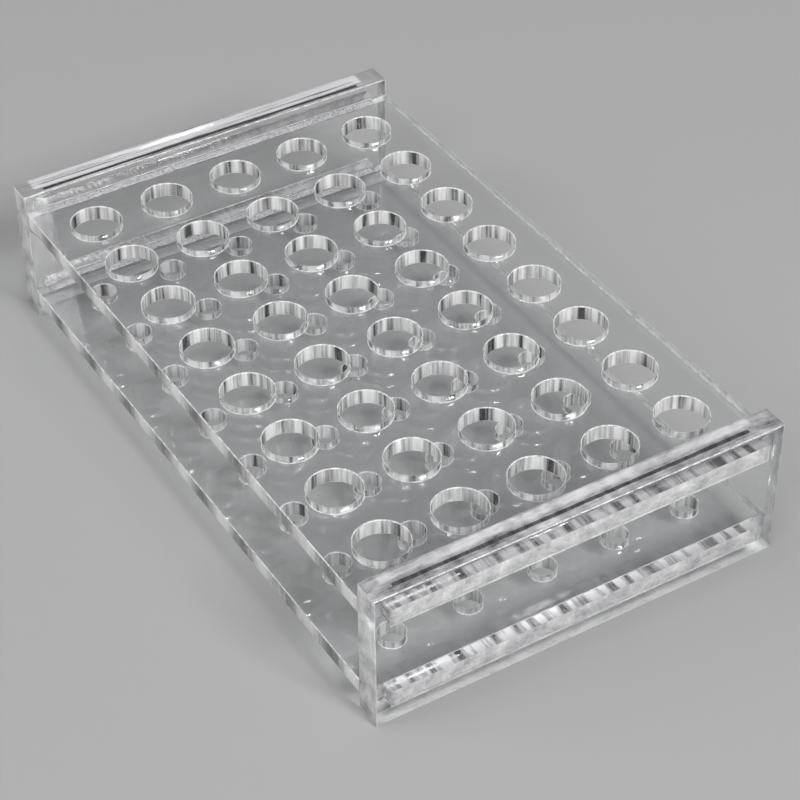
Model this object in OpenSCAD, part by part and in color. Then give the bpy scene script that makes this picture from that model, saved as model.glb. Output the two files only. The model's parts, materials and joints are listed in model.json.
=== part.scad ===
// Microcentrifuge tube rack, a rack of four laser-cut clear sheets.
// Two well plates lie between two end plates. A tongue at each end of a well plate
// fills a slot through the end plate and lies flush with its outer face.
// A tube hangs through a well and its cone stands in the seat hole straight below.
// Frame: X along the rack, Y across it, Z up. The origin is the centre of the base.

/* [Overall] */
// Length over the two end plates
rack_l = 153.6; // [80:0.1:400]
// Width of every sheet
rack_w = 92; // [40:0.5:250]
// Height of the end plates, from the bench to their top edges
rack_h = 32; // [22:0.5:80]

/* [Sheets] */
// Thickness of the end plates
end_t = 6; // [3:0.1:12]
// Thickness of the two well plates
plate_t = 3.5; // [2:0.1:8]

/* [Levels] */
// Depth of the top plate's upper face below the end plates' top edges
top_drop = 3.9; // [0:0.1:12]
// Height of the lower plate's underside above the bench
lower_lift = 3.7; // [1:0.1:12]

/* [Wells] */
// Distance from one well to the next, the same both ways
well_pitch = 17.15; // [12:0.05:40]
// Diameter of a well in the top plate
well_d = 11; // [5:0.1:30]
// Diameter of a seat hole in the lower plate
seat_d = 5.5; // [2:0.1:20]
// Least width of sheet left between a well and an edge
edge_web = 5; // [2:0.1:12]

/* [Joints] */
// Width of the shoulder on each side of a tongue
shoulder_w = 3.5; // [1:0.1:12]
// Gap between a tongue and each wall of its slot
slot_gap = 0.1; // [0:0.01:0.4]
// Thickness of the cement between a shoulder and an end plate
cement_t = 0.05; // [0:0.01:0.3]

/* [Hidden] */
$fn = 96;
clear_sheet = [0.80, 0.83, 0.85, 0.45];

inner_l = rack_l - 2 * end_t;
body_l = inner_l - 2 * cement_t;
tongue_w = rack_w - 2 * shoulder_w;
slot_w = tongue_w + 2 * slot_gap;
slot_h = plate_t + 2 * slot_gap;

top_z = rack_h - top_drop - plate_t;
lower_z = lower_lift;

// As many wells as the sheet holds each way
function wells_in(sheet_l) = floor((sheet_l - well_d - 2 * edge_web) / well_pitch) + 1;
columns = wells_in(inner_l);
rows = wells_in(rack_w);

top_plate();
lower_plate();
left_end_plate();
right_end_plate();

// The top plate, with the wells that the tubes hang in
module top_plate() {
  color(clear_sheet)
    translate([0, 0, top_z])
      well_plate(well_d);
}

// The lower plate, with the seat holes that the cones stand in
module lower_plate() {
  color(clear_sheet)
    translate([0, 0, lower_z])
      well_plate(seat_d);
}

// The end plate at the rack's left end
module left_end_plate() {
  color(clear_sheet)
    translate([-rack_l / 2, 0, 0])
      end_plate();
}

// The end plate at the rack's right end
module right_end_plate() {
  color(clear_sheet)
    translate([rack_l / 2 - end_t, 0, 0])
      end_plate();
}

// A flat sheet with a tongue at each end and a grid of round holes
module well_plate(hole_d) {
  linear_extrude(plate_t)
    difference() {
      tongued_outline();
      at_wells()
        circle(d = hole_d);
    }
}

// The sheet's outline: full width between the end plates, and a tongue through each
module tongued_outline() {
  square([body_l, rack_w], center = true);
  square([rack_l, tongue_w], center = true);
}

// An upright sheet on the YZ plane, with a slot for each well plate's tongue
module end_plate() {
  rotate([90, 0, 90])
    linear_extrude(end_t)
      difference() {
        translate([-rack_w / 2, 0])
          square([rack_w, rack_h]);
        for (z = [lower_z, top_z])
          translate([-slot_w / 2, z - slot_gap])
            square([slot_w, slot_h]);
      }
}

// Its children at every well, in rows and columns centred on the sheet
module at_wells() {
  for (column = [0 : columns - 1], row = [0 : rows - 1])
    translate([
      (column - (columns - 1) / 2) * well_pitch,
      (row - (rows - 1) / 2) * well_pitch
    ])
      children();
}
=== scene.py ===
# %% [markdown]
# # A rack for microcentrifuge tubes, cut from clear acrylic sheet
#
# The real rack is four flat pieces of clear acrylic. A laser cuts them out of sheet: two
# perforated plates, 3.5 mm thick, and two end plates, 6 mm thick. The plates have wide
# tongues that go right through slots in the end plates, and a solvent bonds the joints.
# Such a part shows two kinds of surface: the faces of the sheet, which are clear and flat,
# and the walls that the beam cut, which are bright and finely ribbed. So each sheet is made
# as one closed skin with those surfaces kept apart.

import json
import math

import bmesh
import bpy
import numpy as np
from mathutils import Matrix, Vector


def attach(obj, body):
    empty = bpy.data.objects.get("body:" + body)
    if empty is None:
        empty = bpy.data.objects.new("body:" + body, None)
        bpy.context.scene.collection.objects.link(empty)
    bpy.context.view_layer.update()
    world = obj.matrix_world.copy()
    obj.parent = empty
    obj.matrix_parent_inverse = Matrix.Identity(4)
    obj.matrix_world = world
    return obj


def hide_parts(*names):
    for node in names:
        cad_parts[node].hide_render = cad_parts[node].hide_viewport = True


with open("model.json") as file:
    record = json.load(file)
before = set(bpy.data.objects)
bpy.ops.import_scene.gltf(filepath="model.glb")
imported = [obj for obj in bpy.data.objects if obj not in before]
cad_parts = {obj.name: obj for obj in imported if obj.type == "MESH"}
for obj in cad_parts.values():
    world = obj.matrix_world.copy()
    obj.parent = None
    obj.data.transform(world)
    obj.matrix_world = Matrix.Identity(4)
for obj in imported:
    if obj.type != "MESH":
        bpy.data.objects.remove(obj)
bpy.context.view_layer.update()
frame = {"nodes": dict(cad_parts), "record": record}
MM = 0.001
HAIR = 0.001 * MM
print("solids:", sorted(frame["nodes"]), "lengths are equal within", HAIR, "m")

# %% [markdown]
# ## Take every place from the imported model
#
# A sheet could be drawn again from a list of sizes, but then the visible model and the
# solids could drift apart. Here the holes come from the record's mounts, and the tongues
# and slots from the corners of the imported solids, so a change of size carries through.


# %% Read holes, tongues and slots from the model
def node_corners(name):
    """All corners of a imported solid, as rows of x, y and z in metres."""
    mesh = frame["nodes"][name].data
    flat = np.empty(len(mesh.vertices) * 3)
    mesh.vertices.foreach_get("co", flat)
    return flat.reshape(-1, 3)


def levels(values):
    """The different values in a list, sorted, to a thousandth of a millimetre, HAIR."""
    return np.unique(np.round(values, 6))


def holes(kind):
    """Columns, rows and radius of the round holes whose mounts start with kind."""
    found = [m for m in frame["record"]["mounts"] if m["name"].startswith(kind)]
    places = np.array([m["pos_m"] for m in found])
    return levels(places[:, 0]), levels(places[:, 1]), found[0]["dims"]["r_mm"] * MM


def plate_sizes(name):
    """Half-lengths and half-widths of a plate's body and tongues, and its two faces."""
    corners = node_corners(name)
    reach = np.abs(corners)
    length, width = reach[:, 0].max(), reach[:, 1].max()
    return {
        "body": reach[reach[:, 1] > width - 10 * HAIR, 0].max(),
        "width": width,
        "length": length,
        "tongue": reach[reach[:, 0] > length - 10 * HAIR, 1].max(),
        "low": corners[:, 2].min(),
        "high": corners[:, 2].max(),
    }


WELLS, SEATS = holes("well_"), holes("seat_")
PLATES = {name: plate_sizes(name) for name in ("top_plate", "lower_plate")}
print("wells:", len(WELLS[0]), "by", len(WELLS[1]), "of radius", WELLS[2], "seats", SEATS[2])
print("top plate:", {k: round(v / MM, 3) for k, v in PLATES["top_plate"].items()})

# %% [markdown]
# ## The edge that a laser leaves
#
# Where the beam enters and leaves, the acrylic melts into a small round lip, so a cut sheet
# has no knife edge. A bevel modifier could round it, but it would treat every edge alike.
# Here a whole wall is one profile, from the upper face down to the lower one, and the same
# profile is carried round each hole, each slot and each outline.

# %% Profile of a cut wall
ROUND = 0.2 * MM
RIM_STEPS = 3


def cut_profile(low, high):
    """Distances towards the open side, and heights, from the upper face to the lower one.

    A quarter round, a straight wall and a quarter round: in each round the distance is
    ROUND times the sine of the turn, and the height falls by ROUND times one less its cosine.
    """
    turn = np.linspace(0, math.pi / 2, RIM_STEPS + 1)
    out, fall = ROUND * np.sin(turn), ROUND * (1 - np.cos(turn))
    upper = np.stack([out, high - fall], 1)
    lower = np.stack([out[::-1], low + fall[::-1]], 1)
    return np.concatenate([upper, lower])


print("profile points:", len(cut_profile(0, 3.5 * MM)), "with a lip of", ROUND / MM, "mm")

# %% [markdown]
# ## Skins from patches
#
# A sheet's skin is a handful of patches. Each is a grid of points, worked out at once as an
# array, and its faces are the squares between neighbouring points. Patches that meet share
# their border points, so welding them leaves one closed skin. Every patch also carries a UV
# map in metres, along the cut and through the sheet, for patterns that follow the beam.

# %% Turn grids of points into one mesh
POLISHED, CUT, EDGE, TIP, SLOT, BOND, RIM = range(7)
print("kinds of surface on a sheet:", RIM + 1)


def corners_of(grid, closed):
    """The four corners of each square of a grid; closed joins the last point to the first.

    grid is indexed by ring and point, and holds numbers or rows of numbers.
    """
    ring = np.concatenate([grid, grid[:, :1]], 1) if closed else grid
    return np.stack([ring[:-1, :-1], ring[1:, :-1], ring[1:, 1:], ring[:-1, 1:]], 2)


def walked(points):
    """How far along a row of points each one lies, from 0 at the first."""
    legs = np.linalg.norm(np.diff(points, axis=0), axis=1)
    return np.concatenate([[0], np.cumsum(legs)])


class Skin:
    """Patches of one piece, kept as arrays until they are welded into a mesh."""

    def __init__(self):
        self.points, self.faces, self.finish, self.maps, self.count = [], [], [], [], 0

    def add(self, patch, finish, closed=False, turned=False, start=0.0):
        """Adds one grid of points, in one finish or one for each of its columns of faces.

        start shifts its pattern, so that no two holes match.
        """
        rings, across = patch.shape[:2]
        number = np.arange(rings * across).reshape(rings, across) + self.count
        middle = patch[rings // 2]
        along = walked(np.concatenate([middle, middle[:1]]) if closed else middle)
        through = walked(patch[:, 0])
        chart = np.stack(np.broadcast_arrays(along[None] + start, through[:, None]), -1)
        faces = corners_of(number, closed).reshape(-1, 4)
        chart = corners_of(chart, False).reshape(-1, 4, 2)
        self.faces.append(faces[:, ::-1] if turned else faces)
        self.maps.append(chart[:, ::-1] if turned else chart)
        self.finish.append(np.broadcast_to(finish, (rings - 1, len(faces) // (rings - 1))).ravel())
        self.points.append(patch.reshape(-1, 3))
        self.count += rings * across

    def add_wall(self, wall, finish, rim=RIM, turned=False, start=0.0):
        """Adds a carried profile: its two quarter rounds are rims, the rest is the wall."""
        parts = ((0, RIM_STEPS, rim), (RIM_STEPS, RIM_STEPS + 1, finish))
        for first, last, part in parts + ((RIM_STEPS + 1, len(wall) - 1, rim),):
            self.add(wall[first : last + 1], part, True, turned, start)

    def piece(self, name, materials, unsmoothed=(POLISHED, BOND)):
        """Welds the patches into an object; flat faces stay unsmoothed."""
        mesh = bpy.data.meshes.new(name)
        faces = np.concatenate(self.faces)
        finish = np.concatenate(self.finish).astype(np.int32)
        mesh.from_pydata(np.concatenate(self.points).tolist(), [], faces.tolist())
        mesh.polygons.foreach_set("material_index", finish)
        mesh.polygons.foreach_set("use_smooth", ~np.isin(finish, unsmoothed))
        chart = mesh.uv_layers.new(name="cut")
        chart.uv.foreach_set("vector", np.concatenate(self.maps).astype(np.float32).ravel())
        skin = bmesh.new()
        skin.from_mesh(mesh)
        bmesh.ops.remove_doubles(skin, verts=skin.verts, dist=2 * HAIR)
        open_edges = sum(not edge.is_manifold for edge in skin.edges)
        volume = skin.calc_volume(signed=True) / MM**3
        skin.to_mesh(mesh)
        skin.free()
        for material in materials:
            mesh.materials.append(material)
        made = bpy.data.objects.new(name, mesh)
        bpy.context.scene.collection.objects.link(made)
        print(f"{name}: {len(mesh.polygons)} faces, {open_edges} open edges, {volume:.1f} mm3")
        return made


# %% [markdown]
# ## A sheet full of holes, cell by cell
#
# A flat face with forty round holes could come from a boolean, which leaves long slivers
# round every hole. Instead the face is a board of cells, one for each hole. A cell is the
# band between a circle and its square, and both have a point at every angle, so the squares'
# border points meet exactly. The outermost cells are stretched out to the sheet's edge.

# %% Circles, squares and rulers
TURNS = 96
TURN = np.arange(TURNS) * 2 * math.pi / TURNS
CIRCLE = np.stack([np.cos(TURN), np.sin(TURN)], 1)
SQUARE = CIRCLE / np.abs(CIRCLE).max(1, keepdims=True)
SIDE = np.tan(np.linspace(-math.pi / 4, math.pi / 4, TURNS // 4 + 1))
STOP = SIDE[-4]
print("points round a hole:", TURNS, "with a tongue's side at mark", round(STOP, 3))


def axis_ruler(centres, edge, stop=None):
    """Turns marks into places along one axis: the hole of cell i is at mark 2i.

    Its cell spans the marks 2i - 1 to 2i + 1, and the outermost cells reach out to edge.
    With stop, the last cells have a border point there, where a tongue's side starts.
    """
    last = 2 * (len(centres) - 1)
    marks = np.arange(-1, last + 2, dtype=float)
    places = np.empty(len(marks))
    places[1::2] = centres
    places[0::2] = np.concatenate([[-edge], (centres[1:] + centres[:-1]) / 2, [edge]])
    if stop is not None:
        marks = np.concatenate([marks, [-STOP, last + STOP]])
        places = np.concatenate([places, [-stop, stop]])
    order = np.argsort(marks)
    return lambda mark: np.interp(mark, marks[order], places[order])


def border_points(ruler, cells):
    """Every border point of the cells along one axis, in order and without repeats."""
    return levels(ruler(2 * np.arange(cells)[:, None] + SIDE[None]))


def raised(flat, height):
    """Rows of x and y given a third number, their height."""
    return np.concatenate([flat, np.broadcast_to(height, flat.shape[:-1] + (1,))], -1)


# %% [markdown]
# ## Walls of the holes
#
# The beam steps along its path, so a cut wall isn't a true cylinder: it has faint ribs from
# face to face, and a small notch where the cut began and ended. Ribs could be painted on,
# but light bends at the wall, so their slopes matter more than their colour. Each hole's
# radius gets a few waves of its own, and the notch is in the same place in every hole.

# %% Ribs and the start of the cut
RIB_HEIGHT = 0.005 * MM
RIB_WAVES = 7
NOTCH = 0.07 * MM


def ribs(seed):
    """What the beam adds to a hole's radius at each angle.

    The sum of RIB_WAVES cosines, each with a whole number of waves round the hole, a
    random start and a random height up to RIB_HEIGHT, and the notch at the first angle.
    """
    chance = np.random.default_rng(seed)
    waves = chance.integers(9, 40, RIB_WAVES)[:, None]
    start = chance.uniform(0, 2 * math.pi, RIB_WAVES)[:, None]
    height = chance.uniform(0.2, 1.0, RIB_WAVES)[:, None] * RIB_HEIGHT
    wave = (height * np.cos(waves * TURN + start)).sum(0)
    wave[0] += NOTCH
    return wave


print(f"first hole: ribs and notch of {np.ptp(ribs(0)) / MM:.3f} mm")


def hole_wall(centre, radius, profile, seed):
    """A profile carried round a hole: the open side is towards its axis.

    Each ring's radius is the hole's radius plus ROUND, less the profile's distance, plus
    the ribs in proportion to that distance, so that the flat faces keep true circles.
    """
    share = profile[:, :1] / ROUND
    reach = radius + ROUND - profile[:, :1] + share * ribs(seed)
    return raised(centre + reach[..., None] * CIRCLE, profile[:, 1][:, None, None])


# %% [markdown]
# ## Round the outline
#
# The outline of a plate has straight sides and square corners, so a profile can be carried
# along it with mitres: each point of the outline moves out along the sum of the normals of
# the sides that meet there, which is one normal along a side and a diagonal at a corner.


# %% Carry a profile along an outline
def way_out(loop):
    """For a loop of square corners, run anticlockwise, the way out at each of its points."""
    ahead = np.roll(loop, -1, 0) - loop
    normal = np.sign(np.round(np.stack([ahead[:, 1], -ahead[:, 0]], 1), 7))
    before = np.roll(normal, 1, 0)
    straight = (normal == before).all(1, keepdims=True)
    return np.where(straight, normal, normal + before)


def carried(loop, out, profile):
    """Ring by ring, the loop moved out by the profile's distance, at the profile's height."""
    moved = loop[None] + out[None] * profile[:, :1, None]
    return raised(moved, profile[:, 1][:, None, None])


def plate_outline(xs, ys, body, width, tip, tongue):
    """Half of the outline from the lower right corner anticlockwise, then the same turned.

    It goes up the right side, out round the tongue and back, then along the upper side.
    """
    low = ys[ys < -tongue - HAIR]
    inner = ys[np.abs(ys) < tongue + HAIR]
    half = np.concatenate([
        np.stack(np.broadcast_arrays(body, low), 1),
        [[body, -tongue]],
        np.stack(np.broadcast_arrays(tip, inner), 1),
        [[body, tongue]],
        np.stack(np.broadcast_arrays(body, -low[::-1]), 1),
        np.stack(np.broadcast_arrays(xs[::-1][1:-1], width), 1),
    ])
    return np.concatenate([half, -half])


square = np.array([[-1, -1], [1, -1], [1, 1], [-1, 1]]) * MM
print("ways out at a square's corners:", way_out(square).astype(int).tolist())

# %% [markdown]
# ## A whole perforated plate
#
# A plate's skin is the board of cells on both faces, a wall in each hole, two strips on each
# tongue, and one wall round the outline. It could be cut out of a box, but here every patch
# brings its own finish: the tongues' undersides get the solvent's. Each hole's pattern
# starts 50 mm further along than the last one's, or forty walls would show the same ribs.


# %% The skin of a perforated plate
PATTERN_SHIFT = 50 * MM


def plate_skin(size, columns, rows, radius):
    """The closed skin of a plate with round holes and a tongue at each end."""
    skin = Skin()
    body, width = size["body"] - ROUND, size["width"] - ROUND
    tip, tongue = size["length"] - ROUND, size["tongue"] - ROUND
    along, across = axis_ruler(columns, body), axis_ruler(rows, width, tongue)
    profile = cut_profile(size["low"], size["high"])
    for number in range(len(columns) * len(rows)):
        column, row = divmod(number, len(rows))
        centre = np.array([columns[column], rows[row]])
        border = np.stack([along(2 * column + SQUARE[:, 0]), across(2 * row + SQUARE[:, 1])], 1)
        cell = np.stack([centre + (radius + ROUND) * CIRCLE, border])
        skin.add(raised(cell, size["high"]), POLISHED, closed=True)
        skin.add(raised(cell, size["low"]), POLISHED, closed=True, turned=True)
        wall = hole_wall(centre, radius, profile, number)
        skin.add_wall(wall, CUT, turned=True, start=PATTERN_SHIFT * number)
    xs, ys = border_points(along, len(columns)), border_points(across, len(rows))
    inner = ys[np.abs(ys) < tongue + HAIR]
    for side in (1, -1):
        strip = np.stack(np.meshgrid([side * body, side * tip], inner, indexing="ij"), -1)
        skin.add(raised(strip, size["high"]), POLISHED, turned=side < 0)
        skin.add(raised(strip, size["low"]), BOND, turned=side > 0)
    outline = plate_outline(xs, ys, body, width, tip, tongue)
    reach = np.abs(outline[:, 0])
    at_tip = np.minimum(reach, np.roll(reach, -1)) > body - HAIR
    wall = carried(outline, way_out(outline), profile)
    skin.add_wall(wall, np.where(at_tip, TIP, EDGE), np.where(at_tip, TIP, RIM))
    return skin


print("cells on each face of a plate:", len(WELLS[0]) * len(WELLS[1]))


# %% [markdown]
# ## End plates
#
# An end plate is a slab with two slots. Its large faces are a board too, three strips wide
# and five high, with the two squares left out that are the slots. The same wall profile goes
# round the slab and round each slot, this time across the thickness. Its top edge was cut
# in another way than its sides and its foot, and the slots' walls are seen through the
# sheet, behind a hair of air, so all three get finishes of their own.


# %% The skin of an end plate
def rectangle(ys, zs):
    """A rectangle's outline through every y and z it is given, anticlockwise from below."""
    below = [(y, zs[0]) for y in ys[:-1]]
    right = [(ys[-1], z) for z in zs[:-1]]
    above = [(y, zs[-1]) for y in ys[:0:-1]]
    left = [(ys[0], z) for z in zs[:0:-1]]
    return np.array(below + right + above + left)


def end_skin(corners):
    """The closed skin of an end plate, from the corners of its solid."""
    skin = Skin()
    inner, outer = corners[:, 0].min(), corners[:, 0].max()
    ys = levels(corners[:, 1]) + ROUND * np.array([1, -1, 1, -1])
    zs = levels(corners[:, 2]) + ROUND * np.array([1, -1, 1, -1, 1, -1])
    slots = ((1, 1), (1, 3))
    for place in np.ndindex(3, 5):
        if place in slots:
            continue
        y, z = np.meshgrid(ys[place[0] : place[0] + 2], zs[place[1] : place[1] + 2], indexing="ij")
        face = np.stack([y, z], -1)
        skin.add(raised(face, outer)[..., [2, 0, 1]], POLISHED)
        skin.add(raised(face, inner)[..., [2, 0, 1]], POLISHED, turned=True)
    profile = cut_profile(inner, outer)
    outline = rectangle(ys, zs)
    on_top = np.minimum(outline[:, 1], np.roll(outline[:, 1], -1)) > zs[-1] - HAIR
    wall = carried(outline, way_out(outline), profile)[..., [2, 0, 1]]
    skin.add_wall(wall, np.where(on_top, EDGE, TIP), np.where(on_top, RIM, TIP))
    for _, level in slots:
        outline = rectangle(ys[1:3], zs[level : level + 2])
        wall = carried(outline, -way_out(outline), profile)[..., [2, 0, 1]]
        skin.add_wall(wall, SLOT, TIP, turned=True)
    return skin


print("slots start and end at", np.round(levels(node_corners("left_end_plate")[:, 2])[1:-1] / MM, 2))


# %% [markdown]
# ## Cured solvent in the corners
#
# Solvent that runs along a joint leaves a bead in the corner between plate and end plate.
# It could be a bump in the material, but it catches light as a fine line of its own, so it
# is a thin body with a hollow face. Its size changes slowly along the joint, as it was
# poured, and it runs out to nothing at both ends.

# %% Beads along the joints
BEAD = 0.34 * MM
BEAD_CLEARANCE = 0.006 * MM
BEAD_POINTS, BEAD_WAVES = 161, 9


def bead(face_x, level, way_x, way_z, half_width, seed):
    """A bead in the corner at face_x and level, growing towards way_x and way_z.

    Across, it is the corner and a hollow quarter circle whose centre is one size away on
    both sides. Along, the size is BEAD times slow waves, and falls to nothing at the ends.
    """
    chance = np.random.default_rng(seed)
    place = np.linspace(-1, 1, BEAD_POINTS)
    waves = chance.integers(2, 24, BEAD_WAVES)[:, None]
    start = chance.uniform(0, 2 * math.pi, BEAD_WAVES)[:, None]
    wave = np.cos(waves * math.pi * place + start).sum(0) / BEAD_WAVES
    size = BEAD * (1 + 0.9 * wave) * np.sqrt(np.clip(1 - place**20, 0, 1))
    turn = np.linspace(math.pi, 1.5 * math.pi, 6)
    curve = np.concatenate([[[0, 0]], 1 + np.stack([np.cos(turn), np.sin(turn)], 1)])
    across = size[:, None, None] * curve + BEAD_CLEARANCE
    x = face_x + way_x * across[..., 0]
    z = level + way_z * across[..., 1]
    y = np.broadcast_to(half_width * place[:, None], x.shape)
    return np.stack([x, y, z], -1)


def bead_skin(size, side, face_x, seed):
    """The beads above and below one plate, where it meets one end plate."""
    skin = Skin()
    for way_z, level in ((1, size["high"]), (-1, size["low"])):
        body = bead(face_x, level, -side, way_z, size["width"] - 2 * ROUND, seed + way_z + 1)
        skin.add(body, POLISHED, closed=True, turned=side * way_z < 0)
    return skin


print(f"first bead: up to {np.ptp(bead(0, 0, 1, 1, 1, 0)[..., 0]) / MM:.2f} mm across")


# %% [markdown]
# ## What makes clear acrylic look like acrylic
#
# Acrylic bends light a little less than window glass, so its index of refraction is 1.49.
# Real transparency needs closed skins and plain settings, which go straight on the shader.
# Lamps can't be seen through bent light without a lot of noise, so for rays to lamps, and
# for soft light, the faces let everything straight through, less what they'd mirror.

# %% Small helpers for materials
ACRYLIC_INDEX = 1.49


def node_of(tree, kind, **settings):
    """A node of one kind with some of its properties set."""
    made = tree.nodes.new("ShaderNode" + kind)
    for name, value in settings.items():
        setattr(made, name, value)
    return made


def feed(tree, source, socket):
    """Puts a number or colour on a socket, or links another socket to it."""
    if isinstance(source, bpy.types.NodeSocket):
        tree.links.new(source, socket)
    else:
        socket.default_value = source


def reckon(tree, operation, first, second):
    """One sum, product or the like of two numbers or sockets."""
    made = node_of(tree, "Math", operation=operation)
    feed(tree, first, made.inputs[0])
    feed(tree, second, made.inputs[1])
    return made.outputs[0]


def spread(tree, value, low, high, start=0.0, end=1.0):
    """A value between start and end, stretched to lie between low and high."""
    made = node_of(tree, "MapRange")
    for name, number in zip(("Value", "From Min", "From Max", "To Min", "To Max"),
                            (value, start, end, low, high)):
        feed(tree, number, made.inputs[name])
    return made.outputs["Result"]


def blended(tree, share, first, second):
    """A colour between two colours."""
    made = node_of(tree, "Mix", data_type="RGBA")
    feed(tree, share, made.inputs["Factor"])
    sockets = [s for s in made.inputs if s.type == "RGBA"]
    feed(tree, first, sockets[0])
    feed(tree, second, sockets[1])
    return [s for s in made.outputs if s.type == "RGBA"][0]


def kept(tree, value):
    """A value held between 0 and 1."""
    made = node_of(tree, "Clamp")
    feed(tree, value, made.inputs["Value"])
    return made.outputs[0]


def cloud(tree, vector, scale, detail=1.0):
    """Soft noise between about 0.2 and 0.8; scale is its lumps in a metre."""
    made = node_of(tree, "TexNoise")
    feed(tree, vector, made.inputs["Vector"])
    feed(tree, scale, made.inputs["Scale"])
    feed(tree, detail, made.inputs["Detail"])
    return made.outputs["Fac"]


def stretched(tree, source, scale, turn=(0.0, 0.0, 0.0)):
    """Coordinates turned and then squeezed: a small scale draws a pattern out that way."""
    made = node_of(tree, "Mapping", vector_type="TEXTURE")
    feed(tree, source, made.inputs["Vector"])
    feed(tree, turn, made.inputs["Rotation"])
    feed(tree, tuple(1.0 / part for part in scale), made.inputs["Scale"])
    return made.outputs[0]


def bumped(tree, height, distance):
    """A normal from a height, whose full range is distance in metres."""
    made = node_of(tree, "Bump")
    feed(tree, height, made.inputs["Height"])
    feed(tree, distance, made.inputs["Distance"])
    return made.outputs[0]


def new_group(name, inputs, outputs):
    """An empty node group with named sockets: its tree, its start and its end."""
    tree = bpy.data.node_groups.new(name, "ShaderNodeTree")
    for way, sockets in (("INPUT", inputs), ("OUTPUT", outputs)):
        for socket, kind in sockets:
            tree.interface.new_socket(socket, in_out=way, socket_type="NodeSocket" + kind)
    start = tree.nodes.new("NodeGroupInput")
    end = tree.nodes.new("NodeGroupOutput")
    return tree, start.outputs, end.inputs


def placed(tree, group, **sources):
    """A group put in a material with its own values; gives its outputs."""
    made = tree.nodes.new("ShaderNodeGroup")
    made.node_tree = group
    for name, source in sources.items():
        feed(tree, source, made.inputs[name])
    return made.outputs


print("index of refraction:", ACRYLIC_INDEX)


# %% [markdown]
# ## Streaks along a cut
#
# Both the laser's ribs and the lines of a saw are streaks: they change quickly one way and
# hardly at all the other. One group makes both from noise in the cut's own UV map, drawn
# out along v for the beam and along u for the saw. Wide bars and fine lines are mixed with
# a grain that isn't drawn out, as the melted surface is slightly grainy. The group gives a
# mask for colour and roughness, and a height for bump.


# %% The streak group
FINER, GRAINS = 4.3, 3600.0


def streak_group():
    """Streaks of a width, with lines FINER times as fine and GRAINS lumps in a metre."""
    tree, start, end = new_group(
        "streaks",
        (("Vector", "Vector"), ("Place", "Vector"), ("Width", "Float"), ("Fine", "Float"),
         ("Contrast", "Float"), ("Grain", "Float"), ("Level", "Float")),
        (("Streak", "Float"), ("Height", "Float")),
    )
    wide = cloud(tree, start["Vector"], reckon(tree, "DIVIDE", 1.0, start["Width"]))
    fine = cloud(tree, start["Vector"], reckon(tree, "DIVIDE", FINER, start["Width"]), 2.0)
    change = reckon(tree, "MULTIPLY", reckon(tree, "SUBTRACT", fine, wide), start["Fine"])
    lines = reckon(tree, "ADD", wide, change)
    grain = reckon(tree, "SUBTRACT", cloud(tree, start["Place"], GRAINS), 0.5)
    both = reckon(tree, "ADD", lines, reckon(tree, "MULTIPLY", grain, start["Grain"]))
    lifted = reckon(tree, "MULTIPLY", reckon(tree, "SUBTRACT", both, 0.5), start["Contrast"])
    feed(tree, kept(tree, reckon(tree, "ADD", lifted, start["Level"])), end["Streak"])
    feed(tree, both, end["Height"])
    return tree


STREAKS = streak_group()
print("streaks:", len(STREAKS.nodes), "nodes")


# %% [markdown]
# ## Specks
#
# Cured solvent holds small bubbles, and the joint's surface is crazed into grains that each
# catch the light differently. Both are cells scattered at random, so one group serves them:
# a cell pattern gives every cell a random number and the distance to its centre.


# %% The speck group
def speck_group():
    """A share of cells holds a speck, of a random size, that fades from its centre out."""
    tree, start, end = new_group(
        "specks",
        (("Vector", "Vector"), ("Spacing", "Float"), ("Size", "Float"), ("Share", "Float")),
        (("Speck", "Float"), ("Chance", "Float")),
    )
    cells = node_of(tree, "TexVoronoi")
    feed(tree, start["Vector"], cells.inputs["Vector"])
    feed(tree, reckon(tree, "DIVIDE", 1.0, start["Spacing"]), cells.inputs["Scale"])
    number = node_of(tree, "SeparateColor")
    feed(tree, cells.outputs["Color"], number.inputs[0])
    shown = reckon(tree, "LESS_THAN", number.outputs[0], start["Share"])
    size = reckon(tree, "MULTIPLY", start["Size"], number.outputs[1])
    near = spread(tree, cells.outputs["Distance"], 1.0, 0.0)
    feed(tree, reckon(tree, "DIVIDE", size, start["Spacing"]), near.node.inputs["From Max"])
    feed(tree, reckon(tree, "MULTIPLY", near, shown), end["Speck"])
    feed(tree, number.outputs[2], end["Chance"])
    return tree


SPECKS = speck_group()
print("specks:", len(SPECKS.nodes), "nodes")

# %% [markdown]
# ## The polished face
#
# The face of the sheet is clear. It is never quite clean, so a little dust and a few
# hairlines from wiping dull it, and it is very slightly wavy, as a cast sheet is. A dirt
# texture would need a map for every face. Noise in Object coordinates needs none: DUST and
# WAVES are its lumps in a metre.


# %% Clear faces
PASSED_ON = (0.962, 0.966, 0.968, 1)
DUST, WAVES = 1500.0, 60.0


def let_light_through(tree, shader, output):
    """Rays to lamps and soft light go straight on, less what two faces mirror."""
    path = node_of(tree, "LightPath")
    open_way = node_of(tree, "BsdfTransparent")
    open_way.inputs["Color"].default_value = PASSED_ON
    surface = shader.outputs[0]
    for ray in ("Is Shadow Ray", "Is Diffuse Ray"):
        choice = node_of(tree, "MixShader")
        feed(tree, path.outputs[ray], choice.inputs[0])
        feed(tree, surface, choice.inputs[1])
        feed(tree, open_way.outputs[0], choice.inputs[2])
        surface = choice.outputs[0]
    feed(tree, surface, output.inputs["Surface"])


def acrylic(name, clear):
    """A material whose shader is acrylic of which a plain share is clear."""
    made = bpy.data.materials.new(name)
    made.use_nodes = True
    tree = made.node_tree
    shader = tree.nodes["Principled BSDF"]
    shader.inputs["IOR"].default_value = ACRYLIC_INDEX
    shader.inputs["Transmission Weight"].default_value = clear
    return made, tree, shader, tree.nodes["Material Output"]


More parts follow.
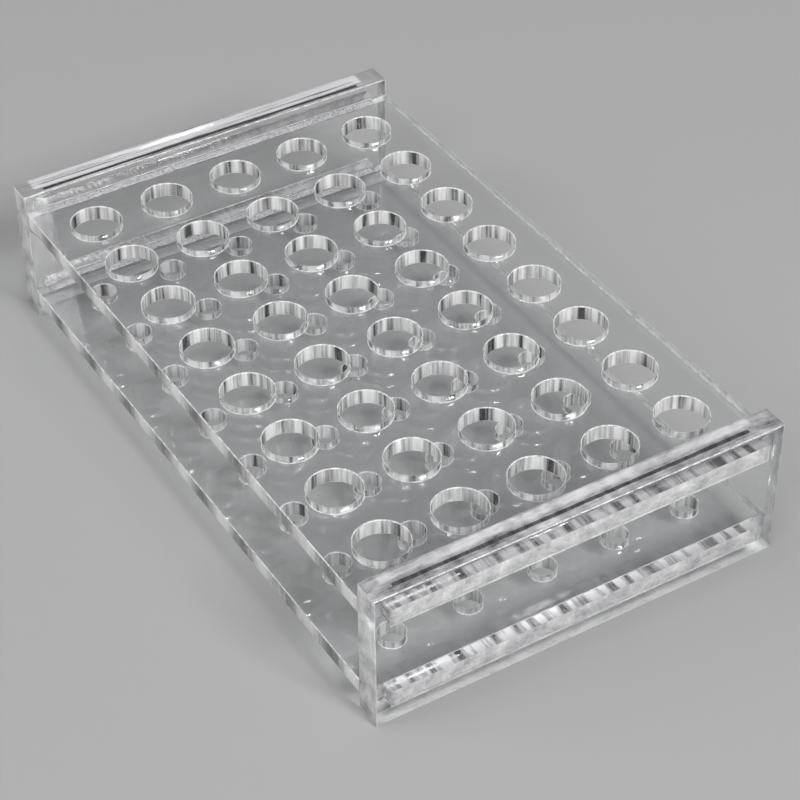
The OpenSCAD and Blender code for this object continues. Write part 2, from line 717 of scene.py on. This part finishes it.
def polished_face():
    """Clear acrylic: dust where fine noise peaks, hairlines from long thin specks."""
    made, tree, shader, output = acrylic("polished_face", 1.0)
    place = node_of(tree, "TexCoord").outputs["Object"]
    dust = spread(tree, cloud(tree, place, DUST, 0.0), 0.0, 1.0, 0.76, 0.84)
    way = stretched(tree, place, (1.0, 0.03, 0.3), (0.0, 0.0, 0.7))
    hair = placed(tree, SPECKS, Vector=way, Spacing=1.3 * MM, Size=0.05 * MM, Share=0.4)[0]
    feed(tree, blended(tree, dust, (0.985, 0.99, 0.99, 1), (0.82, 0.82, 0.83, 1)),
         shader.inputs["Base Color"])
    feed(tree, spread(tree, reckon(tree, "MAXIMUM", hair, dust), 0.0, 0.14),
         shader.inputs["Roughness"])
    wavy = bumped(tree, cloud(tree, place, WAVES, 0.0), 0.02 * MM)
    feed(tree, wavy, shader.inputs["Normal"])
    let_light_through(tree, shader, output)
    return made


POLISHED_FACE = polished_face()
print(POLISHED_FACE.name, "made")

# %% [markdown]
# ## Cut surfaces
#
# Each cut surface is partly clear and partly cloudy: a plain share goes through, and the
# rest scatters white. Round a small hole the beam slows down, so ribs run from face to
# face. Along a straight edge it goes evenly, and leaves a smooth, satin surface. So one
# function makes them all, each with its own streaks, clear share and roughness.


# %% A streaked finish
BEAM, SAW = (1.0, 0.05, 1.0), (0.03, 1.0, 1.0)
WHITE, LILAC = (1.0, 1.0, 1.0, 1), (0.985, 0.973, 1.0, 1)


def valued(tree, source):
    """A number as it is, or the socket that a function makes for it."""
    return source(tree) if callable(source) else source


def streaked(name, clear, scale, width, fine, contrast, grain, level, dark, rough, depth,
             light=WHITE):
    """A cut surface: streaks along the scale's small axis, dark to light about a level.

    Contrast and level are numbers, or functions that make nodes for one that changes.
    """
    made, tree, shader, _ = acrylic(name, clear)
    chart = node_of(tree, "UVMap", uv_map="cut").outputs[0]
    streak, height = placed(tree, STREAKS, Vector=stretched(tree, chart, scale), Place=chart,
                            Width=width, Fine=fine, Contrast=valued(tree, contrast),
                            Grain=grain, Level=valued(tree, level))
    feed(tree, blended(tree, streak, (dark, dark, 1.04 * dark, 1), light),
         shader.inputs["Base Color"])
    feed(tree, spread(tree, streak, *rough), shader.inputs["Roughness"])
    feed(tree, bumped(tree, height, depth), shader.inputs["Normal"])
    return made


print("a pattern is drawn out", round(1 / BEAM[1]), "times along the beam,",
      round(1 / SAW[0]), "times along the saw")

# %% [markdown]
# ## Edges that change along their length
#
# Along the end plates' top edges, as far as the joint below them reaches, a bright band and
# fine dark lines are painted into the colour: a painted highlight and painted shade for light
# that the edge shows through the sheet. Beyond their ends the edge is plain. A texture could
# be painted for each edge, but these changes follow the rack's own axes, so they are worked
# out from Object coordinates.


# %% Where an edge changes
def place_on_rack(tree):
    """The x, y and z of a point of the surface."""
    place = node_of(tree, "SeparateXYZ")
    feed(tree, node_of(tree, "TexCoord").outputs["Object"], place.inputs[0])
    return place.outputs


def stripe(tree, place, middle, height, floor, reach):
    """A height round a middle place; from floor to reach away it falls to nothing."""
    away = reckon(tree, "ABSOLUTE", reckon(tree, "SUBTRACT", place, middle), 0.0)
    return spread(tree, away, height, 0.0, floor, reach)


END = node_corners("right_end_plate")
NEAR_BACK, FAR_BACK = END[:, 0].min(), -END[:, 0].max()
TOP_EDGE, FOOT = END[:, 2].max() - 0.5 * MM, 0.5 * MM
JOINT, JOINT_MIDDLE = PLATES["top_plate"]["tongue"], -1.0 * MM
# Where the painted band and the painted dark lines fade out, from the joint's middle.
BAND_END = (JOINT - 1.3 * MM, JOINT - 0.5 * MM)
DARK_LINE_END = (JOINT - 3.0 * MM, JOINT - 2.4 * MM)
RISE = (8 * MM, 22 * MM)
print("bright bands end", np.round(np.array(BAND_END) / MM, 2), "mm from the joint's middle")


# %% [markdown]
# ## Four ways to change
#
# The left end plate's top edge shows the long lines of a saw, but only along the joint. The
# other edges are mottled, and their underside is lighter, a painted highlight for light that
# runs inside the sheet down to it. Light that runs along inside a plate comes out of its
# front edge between the wells. To trace it would take far too long, so that edge gets
# painted light there, lighter by a cosine of X, and painted shade behind the wells. Each
# change is a function that makes its nodes in whichever material asks for it, so every
# finish can have its own.


# %% Levels that change over an edge
def painted_band_and_lines(back, band, dark_lines, plain, bright):
    """Makes a level for an edge with a painted band and painted dark lines, as far as its joint
    reaches.

    It is bright across the band, a painted highlight, and darker in each dark line, painted
    shade. Both have a middle, measured from the edge's back face, and how far from it the
    change starts and ends; a dark line's depth comes before them.
    """
    def level(tree):
        x, y, z = place_on_rack(tree)
        across = reckon(tree, "SUBTRACT", x, back)
        lit = stripe(tree, across, band[0], bright - plain, *band[1:])
        lit = reckon(tree, "MULTIPLY", lit, stripe(tree, y, JOINT_MIDDLE, 1.0, *BAND_END))
        inside = stripe(tree, y, JOINT_MIDDLE, 1.0, *DARK_LINE_END)
        for depth, middle, floor, reach in dark_lines:
            dark = stripe(tree, across, middle, -depth, floor, reach)
            lit = reckon(tree, "ADD", lit, reckon(tree, "MULTIPLY", dark, inside))
        upper = reckon(tree, "GREATER_THAN", z, TOP_EDGE)
        return reckon(tree, "ADD", reckon(tree, "MULTIPLY", lit, upper), plain)
    return level


def along_joint(inner, outer):
    """Makes a value that is inner along a joint, and outer beyond its ends."""
    def value(tree):
        more = stripe(tree, place_on_rack(tree)[1], JOINT_MIDDLE, inner - outer, *BAND_END)
        return reckon(tree, "ADD", more, outer)
    return value


def by_height(foot, low, high):
    """Makes a level: foot on the underside, and above it low, rising to high.

    The foot is a painted highlight, for light inside the sheet that reaches its underside.
    """
    def level(tree):
        z = place_on_rack(tree)[2]
        under = reckon(tree, "LESS_THAN", z, FOOT)
        rising = spread(tree, z, low, high, *RISE)
        return reckon(tree, "ADD", rising, reckon(tree, "MULTIPLY", under, foot - low))
    return level


def painted_light_between_wells(columns, plain, drop, swing):
    """Makes a level with painted light midway between the wells along the front edges.

    It is the plain level. Along the front it is lower by the drop, and by a swing times the
    cosine of the turns from the first well: painted light between the wells and painted
    shade behind them.
    """
    def level(tree):
        x, y, _ = place_on_rack(tree)
        turns = spread(tree, x, 0.0, 2 * math.pi, columns[0], columns[1])
        turns.node.clamp = False
        wave = reckon(tree, "MULTIPLY", reckon(tree, "COSINE", turns, 0.0), swing)
        wave = reckon(tree, "ADD", wave, drop)
        front = reckon(tree, "LESS_THAN", y, 0.0)
        return reckon(tree, "SUBTRACT", plain, reckon(tree, "MULTIPLY", wave, front))
    return level


print(f"front edges are lighter every {(WELLS[0][1] - WELLS[0][0]) / MM:.2f} mm")


# %% [markdown]
# ## One finish for each way of cutting
#
# Six cut surfaces follow, from the holes' walls to the tongues' ends. They could be six node
# trees built by hand, but they differ only in numbers, so each is one call. Width is that of
# a streak, fine the share of fine lines, dark the colour of the darkest streak, rough the
# roughness from dark to light, and depth the height of the bump.

# %% Streaked finishes
LASER_WALL = streaked(
    "laser_wall", clear=0.42, scale=BEAM, width=3.2 * MM, fine=0.3, contrast=6.0, grain=0.03,
    level=0.62, dark=0.04, rough=(0.005, 0.09), depth=0.06 * MM)
# Its front edges get painted light between the wells and painted shade behind them.
STRAIGHT_EDGE = streaked(
    "straight_edge", clear=0.35, scale=(1.0, 0.25, 1.0), width=5.0 * MM, fine=0.4,
    contrast=1.6, grain=0.4, level=painted_light_between_wells(WELLS[0], plain=0.9, drop=0.33, swing=0.47),
    dark=0.12, rough=(0.04, 0.16), depth=0.06 * MM)
# Its top edge gets the painted band and one painted dark line.
SATIN_EDGE = streaked(
    "satin_edge", clear=0.4, scale=(0.25, 0.8, 1.0), width=2.4 * MM, fine=0.4, contrast=1.9,
    grain=0.2, dark=0.07, rough=(0.05, 0.2), depth=0.05 * MM, light=LILAC,
    level=painted_band_and_lines(NEAR_BACK, band=(1.4 * MM, 0.6 * MM, 1.4 * MM),
                     dark_lines=[(1.2, 3.75 * MM, 0.15 * MM, 0.55 * MM)],
                     plain=0.42, bright=0.9))
# Its top edge gets the painted band and two painted dark lines.
SAWN_EDGE = streaked(
    "sawn_edge", clear=0.4, scale=SAW, width=1.1 * MM, fine=0.45,
    contrast=along_joint(inner=3.6, outer=0.5), grain=0.3,
    dark=0.06, rough=(0.04, 0.2), depth=0.05 * MM, light=LILAC,
    level=painted_band_and_lines(FAR_BACK, band=(2.2 * MM, 1.5 * MM, 2.0 * MM),
                     dark_lines=[(1.2, 4.75 * MM, 0.15 * MM, 0.5 * MM),
                              (0.6, 2.8 * MM, 0.0, 0.3 * MM)],
                     plain=0.42, bright=1.0))
MELTED_RIM = streaked(
    "melted_rim", clear=0.3, scale=(1.0, 1.0, 1.0), width=1.6 * MM, fine=0.4, contrast=5.0,
    grain=0.3, level=0.7, dark=0.35, rough=(0.3, 0.06), depth=0.05 * MM)
# Its underside gets a painted highlight, and below RISE it is darker.
TONGUE_TIP = streaked(
    "tongue_tip", clear=0.3, scale=(0.6, 0.8, 1.0), width=2.4 * MM, fine=0.4, contrast=1.9,
    grain=0.25, level=by_height(foot=0.95, low=0.46, high=0.58), dark=0.28,
    rough=(0.08, 0.25), depth=0.06 * MM)
print("materials so far:", [material.name for material in bpy.data.materials])

# %% [markdown]
# ## Where solvent has run
#
# Solvent melts the two sheets together, but never everywhere. Bonded patches are cloudy,
# crazed into bright grains and full of small bubbles, with a faint lilac cast, as on the
# undersides of the tongues. In the right end plate it ran into the slots and left bars,
# some white and some clear. In the left one the slots stayed dry, and show only the beam's
# ribs. Modelled bubbles would be thousands of tiny meshes, so they are specks in a material.


# %% Bonded finishes
def crazed(name, clear, grain, dark, light, depth):
    """Cured solvent: each grain has its own random brightness, less its bubbles."""
    made, tree, shader, _ = acrylic(name, clear)
    place = node_of(tree, "TexCoord").outputs["Object"]
    cloudy = cloud(tree, stretched(tree, place, (1.0, 0.35, 1.0)), 500.0, 2.0)
    bubble, chance = placed(tree, SPECKS, Vector=place, Spacing=grain, Size=grain, Share=0.25)
    shine = reckon(tree, "ADD", reckon(tree, "MULTIPLY", chance, 1.2),
                   reckon(tree, "SUBTRACT", cloudy, 0.2))
    grains = blended(tree, kept(tree, shine), dark, light)
    feed(tree, blended(tree, reckon(tree, "MULTIPLY", bubble, 0.5), grains, dark),
         shader.inputs["Base Color"])
    feed(tree, spread(tree, cloudy, 0.05, 0.3), shader.inputs["Roughness"])
    feed(tree, bumped(tree, chance, depth), shader.inputs["Normal"])
    return made


BOND_FACE = crazed(
    "solvent_bond", clear=0.2, grain=0.3 * MM, dark=(0.25, 0.245, 0.26, 1), light=LILAC,
    depth=0.05 * MM)
WET_SLOT = streaked(
    "wet_slot_wall", clear=0.3, scale=BEAM, width=3.4 * MM, fine=0.25, contrast=9.0,
    grain=0.04, level=0.72, dark=0.03, rough=(0.12, 0.3), depth=0.2 * MM, light=LILAC)
DRY_SLOT = streaked(
    "dry_slot_wall", clear=0.9, scale=BEAM, width=0.9 * MM, fine=0.3, contrast=5.0,
    grain=0.3, level=0.4, dark=0.1, rough=(0.0, 0.06), depth=0.25 * MM)
CEMENT = streaked(
    "cement_bead", clear=0.8, scale=(0.3, 1.0, 1.0), width=0.5 * MM, fine=0.4, contrast=2.0,
    grain=0.3, level=0.5, dark=0.8, rough=(0.05, 0.3), depth=0.03 * MM)
print("materials in all:", len(bpy.data.materials))

# %% [markdown]
# ## Put the rack together
#
# Each skin becomes a piece that stands for its imported solid and rides on the rack's one
# body. Its finishes are the materials made above, one for each kind of surface.


# %% Make the pieces
def settle(piece, *solids):
    """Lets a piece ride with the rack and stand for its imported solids."""
    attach(piece, "root")
    if solids:
        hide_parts(*solids)


def finishes(cut, edge, slot):
    """A sheet's finishes, in the order of POLISHED, CUT, EDGE, TIP, SLOT, BOND and RIM."""
    return [POLISHED_FACE, cut, edge, TONGUE_TIP, slot, BOND_FACE, MELTED_RIM]


for name, wells in (("top_plate", WELLS), ("lower_plate", SEATS)):
    sheet = plate_skin(PLATES[name], *wells).piece(
        name.replace("plate", "sheet"), finishes(LASER_WALL, STRAIGHT_EDGE, DRY_SLOT))
    settle(sheet, name)

for name, side, edge, slot in (("left_end_plate", -1, SAWN_EDGE, DRY_SLOT),
                               ("right_end_plate", 1, SATIN_EDGE, WET_SLOT)):
    corners = node_corners(name)
    sheet = end_skin(corners).piece(
        name.replace("plate", "sheet"), finishes(LASER_WALL, edge, slot))
    settle(sheet, name)
    face_x = side * np.abs(corners[:, 0]).min()
    for seed, plate in enumerate(PLATES):
        beads = bead_skin(PLATES[plate], side, face_x, 10 * seed + side + 1)
        settle(beads.piece(f"bead_{plate}_{name[:-6]}", [CEMENT], ()))

# %% [markdown]
# ## Floor
#
# The rack stands on a plain pale sheet. A curved backdrop would hide the far edge in very
# low views, but a flat, wide sheet is simpler and does for all the others. It lies 0.2 mm
# below the rack, so that no two faces share a plane.

# %% Floor
FLOOR_GREY = (0.4, 0.4, 0.4, 1)
FLOOR_REACH = 6.0
FLOOR_DROP = 0.2 * MM


def floor():
    """One square, FLOOR_REACH each way, of paper without a shine."""
    mesh = bpy.data.meshes.new("floor")
    reach = FLOOR_REACH
    corners = [(-reach, -reach, 0), (reach, -reach, 0), (reach, reach, 0), (-reach, reach, 0)]
    mesh.from_pydata(corners, [], [(0, 1, 2, 3)])
    made = bpy.data.objects.new("floor", mesh)
    bpy.context.scene.collection.objects.link(made)
    material = bpy.data.materials.new("floor_paper")
    material.use_nodes = True
    shader = material.node_tree.nodes["Principled BSDF"]
    shader.inputs["Base Color"].default_value = FLOOR_GREY
    shader.inputs["Roughness"].default_value = 1.0
    shader.inputs["Specular IOR Level"].default_value = 0.0
    mesh.materials.append(material)
    made.location.z = -FLOOR_DROP


floor()
print(f"floor: {2 * FLOOR_REACH:.0f} m square, {FLOOR_DROP / MM} mm below the rack")


# %% [markdown]
# ## Lamps and sky
#
# A lamp's power is worked out from the share of the floor's light that it gives, so that the
# shares add up to about one and a colour renders as it is written. Numbers of watts would
# have to be found again for each distance. The sky is pale at the horizon and dim overhead,
# as in a studio, which gives the clear walls something dark to bend into view.


# %% Lamps and sky
def lamp(name, way, size, share, distance=2.5):
    """A lamp of size width by height, towards way, gives the floor this share of its light.

    Its power is the share times pi squared times the distance squared, over the cosine of
    the angle at which its light meets the floor.
    """
    way = Vector(way).normalized()
    data = bpy.data.lights.new(name, "AREA")
    data.shape = "RECTANGLE"
    data.size, data.size_y = size
    data.energy = share * math.pi**2 * distance**2 / way.z
    made = bpy.data.objects.new(name, data)
    bpy.context.scene.collection.objects.link(made)
    made.location = way * distance
    made.rotation_euler = way.to_track_quat("Z", "Y").to_euler()
    print(f"{name}: {data.energy:.1f} W")


lamp("key_lamp", way=(0.988, 0.155, 0.83), size=(0.85, 0.85), share=0.5)
lamp("side_lamp", way=(0.6, -1.0, 1.2), size=(1.2, 1.2), share=0.18)
lamp("overhead_lamp", way=(-0.1, -0.1, 1.2), size=(1.4, 1.4), share=0.13)
lamp("fill_lamp", way=(-0.5, -1.0, 0.8), size=(1.2, 1.2), share=0.13)


def sky():
    """Pale up to a little above the horizon, then dimmer towards overhead."""
    world = bpy.data.worlds.new("studio")
    bpy.context.scene.world = world
    world.use_nodes = True
    tree = world.node_tree
    way = node_of(tree, "TexCoord").outputs["Generated"]
    height = node_of(tree, "SeparateXYZ")
    feed(tree, way, height.inputs[0])
    share = spread(tree, height.outputs["Z"], 0.0, 1.0, 0.12, 0.5)
    colour = blended(tree, share, (0.5, 0.5, 0.5, 1), (0.14, 0.14, 0.145, 1))
    feed(tree, colour, tree.nodes["Background"].inputs["Color"])


sky()
print("world:", bpy.context.scene.world.name)

# %% [markdown]
# ## Camera
#
# The camera looks down on the rack from its right front corner. Its place is worked out
# from the point that it looks at, a distance, and two angles, with a slight roll.


# %% Place the camera
def camera(aim, distance, azimuth, elevation, roll, lens):
    """Looks at aim from distance; azimuth turns from the front towards the right."""
    azimuth, elevation, roll = (math.radians(a) for a in (azimuth, elevation, roll))
    flat = math.cos(elevation)
    back = Vector((math.sin(azimuth) * flat, -math.cos(azimuth) * flat, math.sin(elevation)))
    right = Vector((0, 0, 1)).cross(back).normalized()
    down = right.cross(back)
    tilted_right = math.cos(roll) * right - math.sin(roll) * down
    tilted_down = math.sin(roll) * right + math.cos(roll) * down
    data = bpy.data.cameras.new("camera")
    data.lens = lens
    data.clip_start = 10 * MM
    made = bpy.data.objects.new("camera", data)
    bpy.context.scene.collection.objects.link(made)
    turn = Matrix((tilted_right, -tilted_down, back)).transposed()
    made.matrix_world = Matrix.Translation(aim + back * distance) @ turn.to_4x4()
    bpy.context.scene.camera = made


camera(aim=Vector((30.60, -12.29, 31.31)) * MM, distance=453.90 * MM, azimuth=58.759,
       elevation=39.491, roll=-0.483, lens=104.76)
scene = bpy.context.scene
print("camera at", [round(place / MM, 1) for place in scene.camera.matrix_world.translation])
scene.view_settings.view_transform = "Standard"
scene.cycles.max_bounces = 20
scene.cycles.transmission_bounces = 20
scene.cycles.sample_clamp_indirect = 60
scene.cycles.glossy_bounces = 12
scene.cycles.transparent_max_bounces = 24
